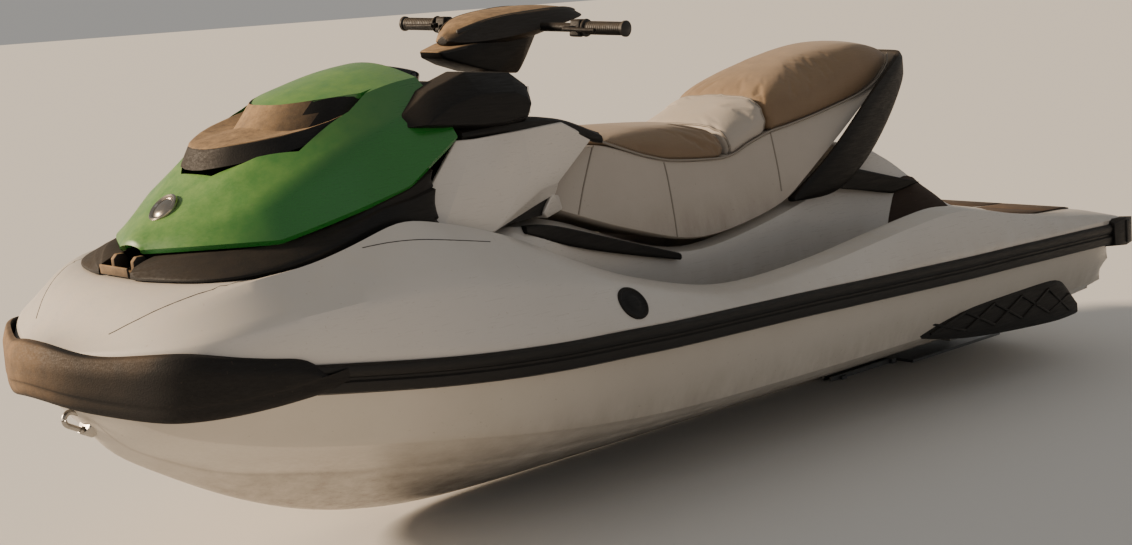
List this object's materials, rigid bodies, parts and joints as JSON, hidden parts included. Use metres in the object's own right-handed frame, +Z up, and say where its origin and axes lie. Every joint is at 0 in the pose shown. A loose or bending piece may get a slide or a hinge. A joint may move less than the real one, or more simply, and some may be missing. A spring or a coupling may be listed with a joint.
{
  "type": "personal watercraft",
  "caption": "Sit-down personal watercraft with a stepped saddle, raked handlebar, opening front hood, rub rails, side sponsons and a steerable jet nozzle.",
  "frame": {"origin": "centre of the craft's plan box, at the level of the keel it stands on", "axes": "+Z up, bow towards -Y, port side towards +X"},
  "size_m": [1.236, 3.368, 1.1835],
  "materials": {
    "hull_white": "sun-aged glossy gelcoat",
    "deck_white": "sun-aged glossy gelcoat",
    "hood_green": "glossy moulded plastic",
    "trim_black": "grained moulded plastic",
    "bumper_rubber": "dusty moulded rubber",
    "seat_tan": "grained marine vinyl",
    "seat_grey": "grained marine vinyl",
    "mat_brown": "ribbed deck foam",
    "pad_brown": "grained soft plastic",
    "grip_rubber": "ribbed grip rubber",
    "steel": "stainless, brushed",
    "pump_alloy": "cast alloy",
    "engine_block": "painted casting",
    "badge_chrome": "worn chrome plate",
    "mirror_glass": "silvered glass",
    "gauge_glass": "dark display glass"
  },
  "bodies": {
    "craft": {"lower_hull": "hull_white", "deck": "deck_white", "rub_rails": "trim_black", "bow_bumper": "bumper_rubber", "stern_bumpers": "bumper_rubber", "bow_eye": "steel", "stern_eyes": "steel", "drain_plugs": "trim_black", "sponsons": "trim_black", "ride_plate": "trim_black", "intake_grate": "pump_alloy", "jet_pump": "pump_alloy", "engine": "engine_block", "hood_surround": "trim_black", "side_cowl_port": "deck_white", "side_cowl_starboard": "deck_white", "console": "trim_black", "gauge": "gauge_glass", "hood_hinge": "trim_black", "seat_trims": "trim_black", "footwell_mats": "mat_brown", "rear_deck_mat": "mat_brown", "rear_inserts": "trim_black", "grab_handle": "trim_black", "side_badges": "trim_black"},
    "hood": {"hood": "hood_green", "hood_insert": "trim_black", "hood_badge": "badge_chrome", "mirror_port": "trim_black", "mirror_starboard": "trim_black", "mirror_glasses": "mirror_glass"},
    "seat": {"seat_base": "seat_grey", "seat_front_pad": "seat_tan", "seat_bolster": "seat_grey", "seat_rear_pad": "seat_tan"},
    "handlebar": {"steering_neck": "trim_black", "handlebar": "trim_black", "handlebar_pad": "pad_brown", "grips": "grip_rubber", "throttle_lever": "trim_black", "reverse_lever": "trim_black"},
    "glovebox_lid": {"glovebox_lid": "trim_black"},
    "nozzle": {"steering_nozzle": "pump_alloy"},
    "reverse_gate": {"reverse_gate": "trim_black"},
    "impeller": {"impeller": "steel"}
  },
  "joints": [
    {"name": "handlebar_steer", "type": "hinge", "parent": "craft", "child": "handlebar", "pos_m": [0, -0.4, 1.01], "axis": [0, 0.4226, 0.9063], "range_deg": [-31, 19]},
    {"name": "nozzle_steer", "type": "hinge", "parent": "craft", "child": "nozzle", "pos_m": [0, 1.496, 0.125], "axis": [0, 0, 1], "range_deg": [-15.2, 24.8]},
    {"name": "reverse_gate_tilt", "type": "hinge", "parent": "craft", "child": "reverse_gate", "pos_m": [0, 1.53, 0.125], "axis": [1, 0, 0], "range_deg": [-80, 0]},
    {"name": "impeller_spin", "type": "hinge", "parent": "craft", "child": "impeller", "pos_m": [0, 1.27, 0.125], "axis": [0, 1, 0], "continuous": true},
    {"name": "hood_tilt", "type": "hinge", "parent": "craft", "child": "hood", "pos_m": [0, -1.424, 0.716], "axis": [1, 0, 0], "range_deg": [0, 50]},
    {"name": "glovebox_lid_tilt", "type": "hinge", "parent": "craft", "child": "glovebox_lid", "pos_m": [0, -0.437, 0.92], "axis": [1, 0, 0], "range_deg": [0, 110]},
    {"name": "seat_tilt", "type": "hinge", "parent": "craft", "child": "seat", "pos_m": [0, -0.425, 0.76], "axis": [1, 0, 0], "range_deg": [0, 28]}
  ],
  "couplings": [
    {"joint": "nozzle_steer", "follows": "handlebar_steer", "ratio": -0.8}
  ]
}
